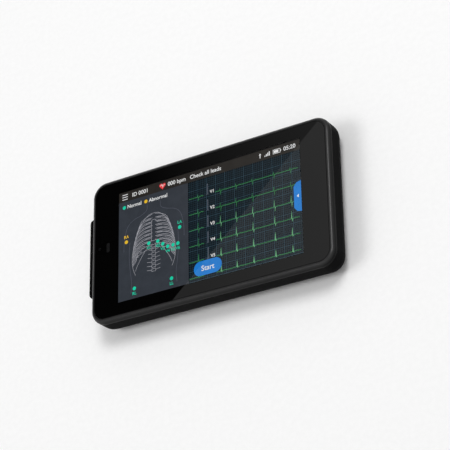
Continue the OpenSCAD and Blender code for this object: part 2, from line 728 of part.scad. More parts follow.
module battery_pad() color([0.85, 0.85, 0.8]) translate([battery_x, 0, wall])
    plate(battery_l - 12, battery_w - 12, 1, pad_t);

module speaker_mesh() color([0.25, 0.25, 0.26]) translate([speaker_x, 0, wall])
    cylinder(h = 0.3, r = speaker_r);

module loudspeaker() color([0.13, 0.13, 0.14]) translate([speaker_x, 0, speaker_z]) rotate_extrude()
    polygon([[0, 0.6], [speaker_r - 2, 0], [speaker_r, 0], [speaker_r, speaker_t - 1.2],
        [speaker_r - 2, speaker_t - 1.2], [speaker_r - 3, speaker_t], [0, speaker_t]]);

module vibration_motor() color([0.65, 0.66, 0.68]) translate([speaker_x, motor_y, wall])
    pillow([2 * motor_r, 2 * motor_r, motor_t], motor_r - 0.01, 0.4, 0.4);

module antenna() color([0.8, 0.62, 0.25])
    translate([inner_x - seat_gap - antenna_t, -antenna_l / 2, split_z - antenna_h - 2])
        cube([antenna_t, antenna_l, antenna_h]);

// ---- Keys ----

module key_cap(l, back, lip) {
    translate([0, inner_y - back, 0]) facing_y() pillow([l, key_h, wall + back + key_out], key_h / 2 - 0.05, key_edge_r, 0);
    translate([0, inner_y - back - lip_t, 0]) facing_y() plate(l + 2 * lip, key_h, 0.6, lip_t);
}

// Short post on the inside of a key that presses its switch.
module presser(back, room) translate([0, switch_y + room, 0]) facing_y()
    cylinder(h = inner_y - back - lip_t - switch_y - room + 0.2, r = press_r);

module power_button() color([0.10, 0.10, 0.105]) translate([-power_x, 0, key_z]) {
    key_cap(power_l, power_back, lip_l);
    presser(power_back, key_travel + switch_rest);
}

module volume_rocker() color([0.10, 0.10, 0.105]) translate([-rocker_x, 0, key_z]) difference() {
    union() {
        key_cap(rocker_l, rocker_back, lip_l);
        for (a = [-1, 1]) translate([a * press_x, 0, 0]) presser(rocker_back, press_gap);
        translate([0, pin_y, -key_h / 2]) cylinder(h = key_h, r = lug_in);
        translate([-lug_in, pin_y, -key_h / 2]) cube([2 * lug_in, inner_y - rocker_back - pin_y, key_h]);
    }
    translate([0, pin_y, -key_h]) cylinder(h = 2 * key_h, r = pin_r + pin_fit);
}

module rocker_pin() color([0.7, 0.7, 0.72])
    translate([-rocker_x, pin_y, key_z - key_h / 2 - key_gap - ear_t + pin_sink])
        cylinder(h = key_h + 2 * key_gap + 2 * ear_t - pin_sink, r = pin_r);

module key_board() color([0.05, 0.22, 0.13])
    translate([key_board_x[0] + rail_w / 2 - rail_depth + 0.1, key_board_y - key_board_t, key_z - key_board_h / 2])
        cube([key_board_x[1] - key_board_x[0] - rail_w + 2 * rail_depth - 0.2, key_board_t, key_board_h]);

module key_switches() color([0.3, 0.3, 0.31])
    for (x = [-power_x, -rocker_x - press_x, -rocker_x + press_x]) translate([x, key_board_y, key_z]) facing_y() {
        plate(switch_l, 3, 0.3, switch_t);
        cylinder(h = switch_t + plunger_t, r = 0.8);
    }

// ---- Charging socket ----

module usb_shell() color([0.75, 0.75, 0.77]) translate([usb_x, body_w / 2 - 0.3 - usb_l, main_z - usb_h / 2])
    facing_y() difference() {
        plate(usb_w, usb_h, usb_h / 2 - 0.01, usb_l);
        translate([0, 0, 1]) plate(usb_w - 0.6, usb_h - 0.6, usb_h / 2 - 0.31, usb_l);
    }

module usb_tongue() color([0.08, 0.08, 0.085])
    translate([usb_x, body_w / 2 - 0.3 - usb_l + 1, main_z - usb_h / 2]) facing_y() {
        plate(usb_w - 0.7, usb_h - 0.7, usb_h / 2 - 0.36, 1);
        plate(6.7, 0.7, 0.1, usb_l - 2);
    }

// ---- Lead socket ----

// Outline of the socket's skirt, wider at the top, with "more" added all round.
module d_outline(more) {
    w = socket_w / 2 - socket_r;
    h = socket_h / 2 - socket_r;
    b = w - 2 * h * tan(10);
    rounded([[-b, -h], [b, -h], [w, h], [-w, h]], socket_r + more);
}

module at_locks() for (b = [-1, 1]) translate([0, b * lock_y, socket_z]) children();

module lock_bosses() translate([block_x + block_wall / 2, 0, 0]) at_locks() facing_x()
    cylinder(h = flange_x - block_x - block_wall / 2, r = lock_boss_r);

module lock_holes() translate([block_x, 0, 0]) at_locks() facing_x() {
    translate([0, 0, -cut]) cylinder(h = lock_head + 0.1 + cut, r = lock_room_r);
    cylinder(h = 12, r = lock_stud_r + 0.15);
}

module screw_locks() color([0.78, 0.78, 0.8]) translate([block_x + 0.1, 0, 0]) at_locks() facing_x()
    difference() {
        union() {
            cylinder(h = lock_head, r = lock_af / sqrt(3), $fn = 6);
            cylinder(h = lock_head + stud_l, r = lock_stud_r);
        }
        translate([0, 0, -cut]) cylinder(h = contact_bore + cut, r = lock_bore_r);
    }

module lock_nuts() color([0.72, 0.72, 0.74]) translate([flange_x + socket_t, 0, 0]) at_locks() facing_x()
    difference() {
        cylinder(h = nut_h, r = nut_af / sqrt(3), $fn = 6);
        translate([0, 0, -cut]) cylinder(h = nut_h + 2 * cut, r = lock_stud_r + thread_gap);
    }

module lead_shell() color([0.80, 0.80, 0.82]) translate([0, 0, socket_z]) difference() {
    union() {
        translate([flange_x, 0, 0]) facing_x() plate(flange_w, flange_h, 1.2, socket_t);
        translate([flange_x - socket_reach, 0, 0]) facing_x() linear_extrude(socket_reach + 0.1) d_outline(0);
    }
    translate([flange_x - socket_reach - cut, 0, 0]) facing_x()
        linear_extrude(socket_reach + socket_t + 2 * cut) d_outline(-socket_t);
    for (b = [-1, 1]) translate([flange_x - cut, b * lock_y, 0]) facing_x()
        cylinder(h = socket_t + 2 * cut, r = lock_stud_r + shank_gap);
}

// Calls its children at each of the fifteen contacts, eight above and seven below.
module at_contacts() for (row = [0, 1], i = [0 : 7 - row])
    translate([0, (i - (7 - row) / 2) * contact_pitch, (0.5 - row) * contact_rows]) children();

module lead_insulator() color([0.08, 0.09, 0.11]) translate([0, 0, socket_z]) difference() {
    union() {
        translate([flange_x - socket_reach + 0.3, 0, 0]) facing_x()
            linear_extrude(socket_reach + socket_t - 0.2) d_outline(-socket_t - 0.05);
        translate([flange_x + socket_t, 0, 0]) facing_x() plate(insulator_w, insulator_h, 0.5, insulator_l);
    }
    translate([flange_x - socket_reach, 0, 0]) at_contacts() facing_x()
        cylinder(h = socket_reach + socket_t + insulator_l + cut, r = contact_r + 0.02);
}

module lead_contacts() color([0.85, 0.68, 0.3]) translate([0, 0, socket_z]) {
    reach = socket_reach + socket_t + insulator_l;
    translate([flange_x - socket_reach + 0.8, 0, 0]) at_contacts() facing_x() difference() {
        cylinder(h = reach - 0.8, r = contact_r);
        translate([0, 0, -cut]) cylinder(h = contact_bore + cut, r = contact_r - 0.28);
    }
    for (row = [0, 1], i = [0 : 7 - row])
        translate([flange_x + socket_t + insulator_l - 0.5, (i - (7 - row) / 2) * contact_pitch - tail_w / 2,
            (row == 0) ? ecg_t / 2 : -ecg_t / 2 - tail_t])
            cube([tail_l + 0.5, tail_w, tail_t]);
}

cover_glass();
border_print();
touch_film();
glass_adhesive();
lcd_cell();
backlight();
lcd_tray();
front_housing();
housing_seal();
chassis();
chassis_screws();
rear_housing();
housing_screws();
earpiece_mesh();
earpiece_receiver();
front_sensor();
main_board();
main_chips();
main_shield();
main_screws();
display_flex();
board_link();
ecg_board();
ecg_chips();
ecg_shield();
ecg_screws();
battery_pack();
battery_pad();
loudspeaker();
speaker_mesh();
vibration_motor();
antenna();
key_board();
key_switches();
power_button();
volume_rocker();
rocker_pin();
usb_shell();
usb_tongue();
lead_shell();
lead_insulator();
lead_contacts();
screw_locks();
lock_nuts();
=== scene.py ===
# Handheld ECG monitor: materials, lit display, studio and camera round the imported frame.
import json
import math

import bmesh
import bpy
from mathutils import Matrix, Vector

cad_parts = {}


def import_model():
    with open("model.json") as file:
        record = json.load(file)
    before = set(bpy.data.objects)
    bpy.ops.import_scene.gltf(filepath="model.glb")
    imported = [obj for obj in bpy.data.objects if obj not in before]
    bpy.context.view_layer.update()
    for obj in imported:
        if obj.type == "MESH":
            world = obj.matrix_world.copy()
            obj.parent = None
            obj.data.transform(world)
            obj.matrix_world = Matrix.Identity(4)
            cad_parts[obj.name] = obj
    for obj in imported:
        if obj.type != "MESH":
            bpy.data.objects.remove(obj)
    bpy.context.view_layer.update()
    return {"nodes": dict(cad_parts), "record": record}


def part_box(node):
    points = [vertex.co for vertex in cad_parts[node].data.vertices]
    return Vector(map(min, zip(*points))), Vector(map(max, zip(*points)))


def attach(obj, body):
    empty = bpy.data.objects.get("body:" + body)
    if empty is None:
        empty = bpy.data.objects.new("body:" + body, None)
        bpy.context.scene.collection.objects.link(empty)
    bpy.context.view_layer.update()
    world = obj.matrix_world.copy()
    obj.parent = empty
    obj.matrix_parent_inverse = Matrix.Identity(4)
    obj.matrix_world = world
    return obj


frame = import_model()

MM = 0.001
BODY = "monitor"
FILM_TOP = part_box("touch_film")[1][2]
GLASS_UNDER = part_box("cover_glass")[0][2]
GLASS_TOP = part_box("cover_glass")[1][2]
RIM_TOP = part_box("front_housing")[1][2]
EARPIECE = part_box("earpiece_mesh")
LIGHT_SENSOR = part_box("front_sensor")
SCREEN_X = 60.9  # half of the lit area, in millimetres
SCREEN_Y = 34.25

# Camera, solved from the corners of the lit area.
CAMERA_AT = Vector((0.4806, -0.4162, 0.7634))
CAMERA_RIGHT = Vector((0.8420, -0.0166, -0.5392))
CAMERA_UP = Vector((0.2410, 0.9059, 0.3484))
CAMERA_BACK = Vector((0.4826, -0.4233, 0.7668))
LENS = 140.24
SENSOR_WIDTH = 36.0


def srgb(r, g, b):
    """Linear colour of an 8-bit sRGB one."""
    def one(c):
        c /= 255.0
        return c / 12.92 if c <= 0.04045 else ((c + 0.055) / 1.055) ** 2.4
    return (one(r), one(g), one(b), 1.0)


def scaled(color, k):
    return (color[0] * k, color[1] * k, color[2] * k, 1.0)


# ---- Nodes ----

TONE_BAND = (0.35, 0.65)  # part of a factor's range over which a colour changes
VALUE_BAND = (0.3, 0.7)  # the same for a plain value


def new_material(name):
    m = bpy.data.materials.new(name)
    m.use_nodes = True
    shader = m.node_tree.nodes["Principled BSDF"]
    return m, m.node_tree.nodes, m.node_tree.links, shader


def object_xyz(nodes, links):
    """x, y and z in the object's own space."""
    coord = nodes.new("ShaderNodeTexCoord")
    split = nodes.new("ShaderNodeSeparateXYZ")
    links.new(coord.outputs["Object"], split.inputs[0])
    return split.outputs["X"], split.outputs["Y"], split.outputs["Z"]


def noise_of(nodes, links, size_mm, detail, stretch=(1.0, 1.0, 1.0)):
    """Noise in the object's own space, with features about size_mm wide."""
    coord = nodes.new("ShaderNodeTexCoord")
    mapping = nodes.new("ShaderNodeMapping")
    mapping.inputs["Scale"].default_value = stretch
    noise = nodes.new("ShaderNodeTexNoise")
    noise.inputs["Scale"].default_value = 1.0 / (size_mm * MM)
    noise.inputs["Detail"].default_value = detail
    links.new(coord.outputs["Object"], mapping.inputs["Vector"])
    links.new(mapping.outputs["Vector"], noise.inputs["Vector"])
    return noise.outputs["Fac"]


def math_node(nodes, links, operation, *values):
    """Math node of sockets and constants."""
    step = nodes.new("ShaderNodeMath")
    step.operation = operation
    for place, value in zip(step.inputs, values):
        if isinstance(value, bpy.types.NodeSocket):
            links.new(value, place)
        else:
            place.default_value = value
    return step.outputs[0]


def two_tone(nodes, links, factor, low, high, target):
    """Colour that goes from low to high with the factor."""
    ramp = nodes.new("ShaderNodeValToRGB")
    for stop, position, color in zip(ramp.color_ramp.elements, TONE_BAND, (low, high)):
        stop.position = position
        stop.color = color
    links.new(factor, ramp.inputs["Fac"])
    links.new(ramp.outputs["Color"], target)


def ranged(nodes, links, factor, low, high, target, band=VALUE_BAND):
    """Value that goes from low to high while the factor passes through the band."""
    span = nodes.new("ShaderNodeMapRange")
    span.inputs["From Min"].default_value = band[0]
    span.inputs["From Max"].default_value = band[1]
    span.inputs["To Min"].default_value = low
    span.inputs["To Max"].default_value = high
    links.new(factor, span.inputs["Value"])
    links.new(span.outputs["Result"], target)


def bumped(nodes, links, factor, depth_mm, strength, shader):
    bump = nodes.new("ShaderNodeBump")
    bump.inputs["Distance"].default_value = depth_mm * MM
    bump.inputs["Strength"].default_value = strength
    links.new(factor, bump.inputs["Height"])
    links.new(bump.outputs["Normal"], shader.inputs["Normal"])


# ---- Materials of the CAD parts ----

def surface(name, color, rough, metallic=0.0, specular=0.5, grain=0.5, depth=0.02, strength=0.3,
            tone=0.12, spread=0.06, stretch=(1.0, 1.0, 1.0), blotch=9.0):
    """Moulded, cast or drawn surface: its colour drifts over blotch mm, and its fine grain of grain mm
    is depth mm deep and changes the gloss."""
    m, nodes, links, shader = new_material(name)
    broad = noise_of(nodes, links, blotch, 3.0)
    two_tone(nodes, links, broad, scaled(color, 1.0 - tone), scaled(color, 1.0 + tone),
             shader.inputs["Base Color"])
    fine = noise_of(nodes, links, grain, 2.0, stretch)
    ranged(nodes, links, fine, rough - spread, rough + spread, shader.inputs["Roughness"])
    bumped(nodes, links, fine, depth, strength, shader)
    shader.inputs["Metallic"].default_value = metallic
    shader.inputs["Specular IOR Level"].default_value = specular
    return m


PRINT_EDGE = 0.5 * MM  # the border looks black from this far outside the lit area
GLASS_EDGE = 0.2 * MM  # rounding of the glass's upper edge
EDGE_SLACK = 0.004 * MM  # keeps the flat top out of it
BOND = 0.05 * MM  # what lies this close to the glass's lower face is bonded
GLASS_CLEAR = (0.97, 0.98, 0.985, 1.0)
GLASS_BLACK = (0.0002, 0.0002, 0.0002, 1.0)


def clear_glass():
    """Polished glass: bonded underneath, black over the printed border, with a ground black edge."""
    m, nodes, links, shader = new_material("cover_glass")
    x, y, z = object_xyz(nodes, links)

    def between(value, low, high):
        """1 from low to high, 0 elsewhere."""
        return math_node(nodes, links, "COMPARE", value, (low + high) / 2, (high - low) / 2)

    def beyond(value, limit):
        """1 where the value is further from 0 than the limit."""
        distance = math_node(nodes, links, "ABSOLUTE", value)
        return math_node(nodes, links, "GREATER_THAN", distance, limit)

    def over_openings(value, axis):
        """1 over the earpiece and the sensor, and all that lies between them on this axis."""
        low = min(EARPIECE[0][axis], LIGHT_SENSOR[0][axis])
        high = max(EARPIECE[1][axis], LIGHT_SENSOR[1][axis])
        return between(value, low - PRINT_EDGE, high + PRINT_EDGE)

    ground = between(z, GLASS_TOP - GLASS_EDGE - EDGE_SLACK, GLASS_TOP - EDGE_SLACK)
    bonded = between(z, GLASS_UNDER - BOND, GLASS_UNDER + BOND)
    openings = math_node(nodes, links, "MULTIPLY", over_openings(x, 0), over_openings(y, 1))
    ends = math_node(nodes, links, "SUBTRACT", beyond(x, SCREEN_X * MM + PRINT_EDGE), openings)
    border = math_node(nodes, links, "MAXIMUM", beyond(y, SCREEN_Y * MM + PRINT_EDGE), ends)
    black = math_node(nodes, links, "MAXIMUM", border, ground)
    two_tone(nodes, links, black, GLASS_CLEAR, GLASS_BLACK, shader.inputs["Base Color"])
    ranged(nodes, links, black, 1.0, 0.0, shader.inputs["Transmission Weight"])
    ranged(nodes, links, ground, 0.0, 0.5, shader.inputs["Roughness"])
    ranged(nodes, links, ground, 0.5, 0.04, shader.inputs["Specular IOR Level"])
    ranged(nodes, links, bonded, 1.5, 1.001, shader.inputs["IOR"])
    return m


CREST = (RIM_TOP - 1.9 * MM, RIM_TOP - 0.3 * MM)  # heights between which the rim's gloss grows
CREST_GLOSS = (0.052, 0.38)  # takes the place of the constant level in the render


def rim_plastic():
    """Satin black plastic whose crest is glossier than the wall under it."""
    m = surface("satin_black", (0.0045, 0.0045, 0.0048), 0.32, specular=0.06,
                grain=0.35, depth=0.012, strength=0.35)
    nodes, links = m.node_tree.nodes, m.node_tree.links
    height = object_xyz(nodes, links)[2]
    ranged(nodes, links, height, *CREST_GLOSS, nodes["Principled BSDF"].inputs["Specular IOR Level"],
           band=CREST)
    return m


def circuit_board():
    """Green solder mask with paler tracks under it."""
    m, nodes, links, shader = new_material("circuit_board")
    coord = nodes.new("ShaderNodeTexCoord")
    tracks = nodes.new("ShaderNodeTexBrick")
    tracks.inputs["Scale"].default_value = 90.0
    tracks.inputs["Mortar Size"].default_value = 0.035
    tracks.inputs["Color1"].default_value = (0.020, 0.110, 0.060, 1.0)
    tracks.inputs["Color2"].default_value = (0.025, 0.130, 0.070, 1.0)
    tracks.inputs["Mortar"].default_value = (0.060, 0.240, 0.120, 1.0)
    links.new(coord.outputs["Object"], tracks.inputs["Vector"])
    links.new(tracks.outputs["Color"], shader.inputs["Base Color"])
    fine = noise_of(nodes, links, 0.6, 2.0)
    ranged(nodes, links, fine, 0.28, 0.38, shader.inputs["Roughness"])
    bumped(nodes, links, tracks.outputs["Fac"], 0.02, 0.4, shader)
    return m


SLOT_MATERIALS = {
    "cover_glass": clear_glass(),
    "black_print": surface("black_print", (0.0015, 0.0015, 0.0017), 0.35, specular=0.05,
                           grain=0.3, depth=0.002),
    "display": surface("display_cell", (0.004, 0.005, 0.008), 0.25, grain=0.2, depth=0.002),
    "film": surface("touch_film", (0.006, 0.006, 0.007), 0.2, grain=0.3, depth=0.002),
    "front_plastic": rim_plastic(),
    "rear_plastic": surface("fine_matte_black", (0.0040, 0.0040, 0.0042), 0.50, specular=0.015,
                            grain=0.30, depth=0.03, strength=0.45),
    "key_plastic": surface("key_plastic", (0.009, 0.009, 0.0095), 0.38, specular=0.12,
                           grain=0.25, depth=0.01),
    "black_rubber": surface("black_rubber", (0.010, 0.010, 0.0105), 0.70, specular=0.2,
                            grain=0.4, depth=0.03),
    "black_plastic": surface("black_plastic", (0.011, 0.011, 0.0125), 0.45, specular=0.2, grain=0.4),
    "circuit_board": circuit_board(),
    "ribbon": surface("amber_ribbon", (0.42, 0.17, 0.03), 0.30, grain=0.2, depth=0.01,
                      stretch=(1.0, 8.0, 1.0)),
    "steel": surface("plain_steel", (0.56, 0.56, 0.58), 0.28, metallic=1.0, grain=0.25, depth=0.006,
                     stretch=(1.0, 0.12, 1.0), tone=0.05),
    "black_steel": surface("black_steel", (0.008, 0.008, 0.0085), 0.50, metallic=0.4, specular=0.10,
                           grain=0.2, depth=0.01),
    "alloy": surface("cast_alloy", (0.46, 0.47, 0.49), 0.48, metallic=1.0, grain=0.5, depth=0.03,
                     tone=0.06),
    "gilt_contacts": surface("gilt", (0.80, 0.56, 0.20), 0.22, metallic=1.0, grain=0.2, depth=0.004,
                             tone=0.05),
    "battery_wrap": surface("battery_wrap", (0.055, 0.058, 0.068), 0.38, grain=0.8, depth=0.02),
    "white_diffuser": surface("white_diffuser", (0.80, 0.82, 0.85), 0.50, grain=0.3, tone=0.02),
    "pale_tape": surface("pale_tape", (0.62, 0.62, 0.57), 0.75, grain=0.4, depth=0.05, tone=0.05),
}

for part in frame["record"]["subparts"]:
    item = frame["nodes"][part["node"]]
    for place in item.material_slots:
        place.material = SLOT_MATERIALS[part["material_slot"]]


# ---- Colours of the lit picture ----

def lit(name, color):
    """Lit pixels: one colour with the faint unevenness of a backlight."""
    m, nodes, links, shader = new_material(name)
    shader.inputs["Base Color"].default_value = (0.002, 0.002, 0.002, 1.0)
    shader.inputs["Specular IOR Level"].default_value = 0.0
    shader.inputs["Roughness"].default_value = 0.6
    haze = noise_of(nodes, links, 6.0, 2.0)
    two_tone(nodes, links, haze, scaled(color, 0.93), scaled(color, 1.05), shader.inputs["Emission Color"])
    shader.inputs["Emission Strength"].default_value = 1.0
    return m


LIT = {
    "bar": lit("lit_bar", srgb(43, 40, 37)),
    "panel": lit("lit_panel", srgb(54, 58, 65)),
    "waves": lit("lit_waves", srgb(3, 11, 17)),
    "fine_grid": lit("lit_fine_grid", srgb(34, 54, 65)),
    "bold_grid": lit("lit_bold_grid", srgb(48, 74, 88)),
    "outline": lit("lit_outline", srgb(84, 86, 98)),
    "bone": lit("lit_bone", srgb(160, 160, 167)),
    "grey": lit("lit_grey", srgb(112, 118, 132)),
    "green": lit("lit_green", srgb(64, 158, 84)),
    "bright_green": lit("lit_bright_green", srgb(120, 196, 138)),
    "teal": lit("lit_teal", srgb(28, 205, 165)),
    "yellow": lit("lit_yellow", srgb(232, 186, 44)),
    "red": lit("lit_red", srgb(232, 62, 66)),
    "white": lit("lit_white", srgb(232, 232, 232)),
    "blue": lit("lit_blue", srgb(30, 122, 204)),
}


# ---- Flat pieces of the lit picture, in millimetres from the middle of the screen ----

# A box is left, bottom, right and top. A pill has the radius of its corners after them.
# Layers between the touch film and the glass, from the lowest up.
LAYERS = ["ground", "fine_lines", "bold_lines", "figures", "traces", "marks", "buttons", "labels"]
MITRE = 0.35  # a line's corner reaches out to its half width over this at most
LETTER_BOLD = 0.05  # how far each letter's outline is moved outwards
DISC_STEPS = 24
CORNER_STEPS = 8
CURVE_STEPS = 6


def level(layer):
    """Height of a layer, in metres."""
    return FILM_TOP + (GLASS_UNDER - FILM_TOP) * (LAYERS.index(layer) + 1) / (len(LAYERS) + 1)


def flat_piece(name, bm, layer, colour):
    mesh = bpy.data.meshes.new(name)
    bmesh.ops.transform(bm, matrix=Matrix.Diagonal((MM, MM, MM, 1.0)), verts=bm.verts)
    bm.to_mesh(mesh)
    bm.free()
    for v in mesh.vertices:
        v.co.z = level(layer)
    mesh.materials.append(LIT[colour])
    piece = bpy.data.objects.new(name, mesh)
    bpy.context.scene.collection.objects.link(piece)
    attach(piece, BODY)


def shapes(name, outlines, layer, colour):
    """One piece of several filled outlines."""
    bm = bmesh.new()
    for outline in outlines:
        bm.faces.new([bm.verts.new((x, y, 0.0)) for x, y in outline])
    flat_piece(name, bm, layer, colour)


def strokes(name, lines, width, layer, colour):
    """One piece of several lines of one width. Each line is a list of points."""
    bm = bmesh.new()
    for points in lines:
        sides = []
        for i, p in enumerate(points):
            here = Vector(p)
            back = (here - Vector(points[i - 1])).normalized() if i else None
            ahead = (Vector(points[i + 1]) - here).normalized() if i + 1 < len(points) else None
            way = ((back or ahead) + (ahead or back)).normalized()
            across = Vector((-way.y, way.x)) * width / 2.0
            if back and ahead:
                across /= max(MITRE, way.dot(ahead))
            sides.append([bm.verts.new((here + shift).to_3d()) for shift in (across, -across)])
        for a, b in zip(sides, sides[1:]):
            bm.faces.new((a[0], a[1], b[1], b[0]))
    flat_piece(name, bm, layer, colour)


def lettering(name, words, layer, colour):
    """One piece of several words. Each is (text, x, y, height, alignment)."""
    bm = bmesh.new()
    for text, x, y, height, align in words:
        curve = bpy.data.curves.new(name, "FONT")
        curve.body = text
        curve.size = height
        curve.offset = LETTER_BOLD
        curve.align_x = align
        curve.align_y = "CENTER"
        shown = bpy.data.objects.new(name + "_word", curve)
        bpy.context.scene.collection.objects.link(shown)
        depsgraph = bpy.context.evaluated_depsgraph_get()
        mesh = bpy.data.meshes.new_from_object(shown.evaluated_get(depsgraph))
        mesh.transform(Matrix.Translation((x, y, 0.0)))
        bm.from_mesh(mesh)
        bpy.data.objects.remove(shown)
        bpy.data.curves.remove(curve)
        bpy.data.meshes.remove(mesh)
    flat_piece(name, bm, layer, colour)


def placed(points, x, y, side=1):
    """Points given from (x, y). A side of -1 mirrors them."""
    return [(x + side * dx, y + dy) for dx, dy in points]


def rectangle(x0, y0, x1, y1):
    return [(x0, y0), (x1, y0), (x1, y1), (x0, y1)]


def arc(x, y, r, start, end, steps):
    """Points of an arc. Its angles are in degrees."""
    angles = [math.radians(start + (end - start) * i / steps) for i in range(steps + 1)]
    return [(x + r * math.cos(a), y + r * math.sin(a)) for a in angles]


def disc(x, y, r):
    return arc(x, y, r, 0.0, 360.0, DISC_STEPS)[:-1]


def pill(x0, y0, x1, y1, r):
    """Rectangle with corners of radius r."""
    corners = [(x1 - r, y1 - r, 0.0), (x0 + r, y1 - r, 90.0), (x0 + r, y0 + r, 180.0),
               (x1 - r, y0 + r, 270.0)]
    return [p for x, y, start in corners for p in arc(x, y, r, start, start + 90.0, CORNER_STEPS)]


def smooth(points):
    """Smooth line through the points (Catmull-Rom)."""
    ends = [points[0]] + points + [points[-1]]
    line = []
    for i in range(1, len(ends) - 2):
        a, b, c, d = (Vector(p) for p in ends[i - 1:i + 3])
        for k in range(CURVE_STEPS):
            t = k / CURVE_STEPS
            line.append(tuple(0.5 * ((2 * b) + (c - a) * t + (2 * a - 5 * b + 4 * c - d) * t ** 2
                                     + (3 * b - a - 3 * c + d) * t ** 3)))
    return line + [points[-1]]


# ---- Backgrounds and grid ----

BAR_Y = 28.0  # lower edge of the status bar
PANEL_X = -12.8  # between the lead panel and the waves
GRID_STEP = 1.24
GRID_BOLD = 5  # steps between bold lines
FINE_WIDTH = 0.20
BOLD_WIDTH = 0.26


def backgrounds():
    shapes("status_bar", [rectangle(-SCREEN_X, BAR_Y, SCREEN_X, SCREEN_Y)], "ground", "bar")
    shapes("lead_panel", [rectangle(-SCREEN_X, -SCREEN_Y, PANEL_X, BAR_Y)], "ground", "panel")
    shapes("wave_panel", [rectangle(PANEL_X, -SCREEN_Y, SCREEN_X, BAR_Y)], "ground", "waves")


def grid():
    """Paper-like grid behind the waves."""
    fine, bold = [], []
    for i in range(1, int((SCREEN_X - PANEL_X) / GRID_STEP) + 1):
        x = PANEL_X + i * GRID_STEP
        (fine if i % GRID_BOLD else bold).append([(x, -SCREEN_Y), (x, BAR_Y)])
    for i in range(1, int((BAR_Y + SCREEN_Y) / GRID_STEP) + 1):
        y = BAR_Y - i * GRID_STEP
        (fine if i % GRID_BOLD else bold).append([(PANEL_X, y), (SCREEN_X, y)])
    strokes("fine_grid", fine, FINE_WIDTH, "fine_lines", "fine_grid")
    strokes("bold_grid", bold, BOLD_WIDTH, "bold_lines", "bold_grid")


# ---- Chest diagram: a plain rib cage, its sternum, its spine and a torso outline ----

CHEST_X = -36.4
RIBS = 10
RIB_TOP = 12.6  # front end of the first rib
RIB_DROP = 2.35  # from one rib to the next
RIB_FALL = 5.2  # from a rib's front end down to its side
RIB_EDGES = (0.0, -0.85)  # a rib's upper and lower line
RIB_START = 1.9  # front end of a long rib, from the middle
RIB_SHORTER = 2.1
SHORT_RIB = 5  # the front end of each rib after this one draws back by RIB_SHORTER
CAGE_OVAL = (14.8, -11.0, 27.0)  # half width, middle and half height of the oval that the ribs reach
CAGE_ARCH = [(1.6, -1.6), (3.4, -4.0), (7.0, -8.4), (10.6, -13.6), (12.6, -17.8)]
CAGE_EDGE = [(0.0, 15.6), (3.6, 14.9), (7.2, 12.0), (10.4, 7.4), (13.2, 0.4), (14.8, -8.0), (14.5, -15.0),
             (12.6, -20.4)]
STERNUM = (-1.5, -1.8, 1.5, 11.4, 0.9)
VERTEBRAE = 7
VERTEBRA_TOP = -5.0  # middle of the first one
VERTEBRA_DROP = 2.5
VERTEBRA_X = 1.3  # half of its width
VERTEBRA_Y = 0.8
WING = 3.0  # how far the first one's wings reach out
WING_GROWTH = 0.4
LONGEST_WING = 4  # the wings grow up to this vertebra
SHOULDER = [(4.6, 22.0), (5.0, 18.4), (8.8, 16.2), (14.6, 14.4), (18.4, 10.8), (20.4, 3.6), (20.8, -4.0)]
FLANK = [(16.6, 1.0), (17.0, -8.0), (16.2, -17.0), (15.2, -25.0), (15.8, -31.0)]
BONE_WIDTH = 0.23
TORSO_WIDTH = 0.24


def chest_curve(points, side, y=0.0):
    return smooth(placed(points, CHEST_X, y, side))


def chest_side(side):
    """Lines of one side of the rib cage. side is -1 or 1."""
    half_x, middle_y, half_y = CAGE_OVAL
    lines = []
    for i in range(RIBS):
        y = RIB_TOP - RIB_DROP * i
        reach = half_x * math.sqrt(1.0 - ((y - RIB_FALL - middle_y) / half_y) ** 2)
        inner = RIB_START + RIB_SHORTER * max(0, i - SHORT_RIB)
        front = [(inner, y), (0.45 * reach + 0.5 * inner, y - 0.3), (0.82 * reach, y - 0.42 * RIB_FALL),
                 (reach, y - RIB_FALL)]
        rear = [(1.0, y + 2.4), (0.42 * reach, y + 1.5), (0.80 * reach, y - 0.9), (reach, y - RIB_FALL)]
        lines += [chest_curve(front, side, edge) for edge in RIB_EDGES]
        lines.append(chest_curve(rear, side))
    lines.append(chest_curve(CAGE_ARCH, side))
    lines.append(chest_curve(CAGE_EDGE, side))
    return lines


def spine():
    lines = []
    for i in range(VERTEBRAE):
        y = VERTEBRA_TOP - VERTEBRA_DROP * i
        wing = WING + WING_GROWTH * min(i, LONGEST_WING)
        block = placed(rectangle(-VERTEBRA_X, -VERTEBRA_Y, VERTEBRA_X, VERTEBRA_Y), CHEST_X, y)
        lines.append(block + block[:1])
        lines += [placed([(wing, 0.5), (VERTEBRA_X, 0.0)], CHEST_X, y, side) for side in (-1, 1)]
    return lines


def chest():
    sternum = placed(pill(*STERNUM), CHEST_X, 0.0)
    bones = chest_side(-1) + chest_side(1) + [sternum] + spine()
    strokes("chest_bones", bones, BONE_WIDTH, "figures", "bone")
    torso = [chest_curve(points, side) for side in (-1, 1) for points in (SHOULDER, FLANK)]
    strokes("torso_outline", torso, TORSO_WIDTH, "bold_lines", "outline")


# ---- Heart traces ----

# Each lead: the height of its line, and how far its spikes go up and down from it.
LEADS = [(17.15, 1.4, 2.4), (7.25, 2.4, 2.8), (-2.65, 4.0, 2.4),
         (-12.5, 4.4, 1.4), (-22.3, 4.2, 0.5), (-32.0, 3.6, 0.3)]
NAMED_LEADS = LEADS[:-1]  # the button covers the last one's name
FIRST_BEAT_X = -6.0
BEATS_X = [8.9, 19.2, 30.0, 43.9, 54.6]
LINE_PARTS = [(PANEL_X + 0.6, -2.4), (5.6, SCREEN_X - 1.6)]  # from left to right, with room for the names
TALL = 3.0  # spikes from here up are drawn brighter
P_WAVE = [(-2.8, 0.0), (-2.2, 0.2), (-1.6, 0.0)]
T_WAVE = [(1.6, 0.05), (2.3, 0.32), (3.0, 0.0)]
CALIBRATION = [(-0.4, 0.0), (0.1, 0.0), (0.1, 6.5), (0.6, 6.5), (0.6, 0.0), (1.1, 0.0)]
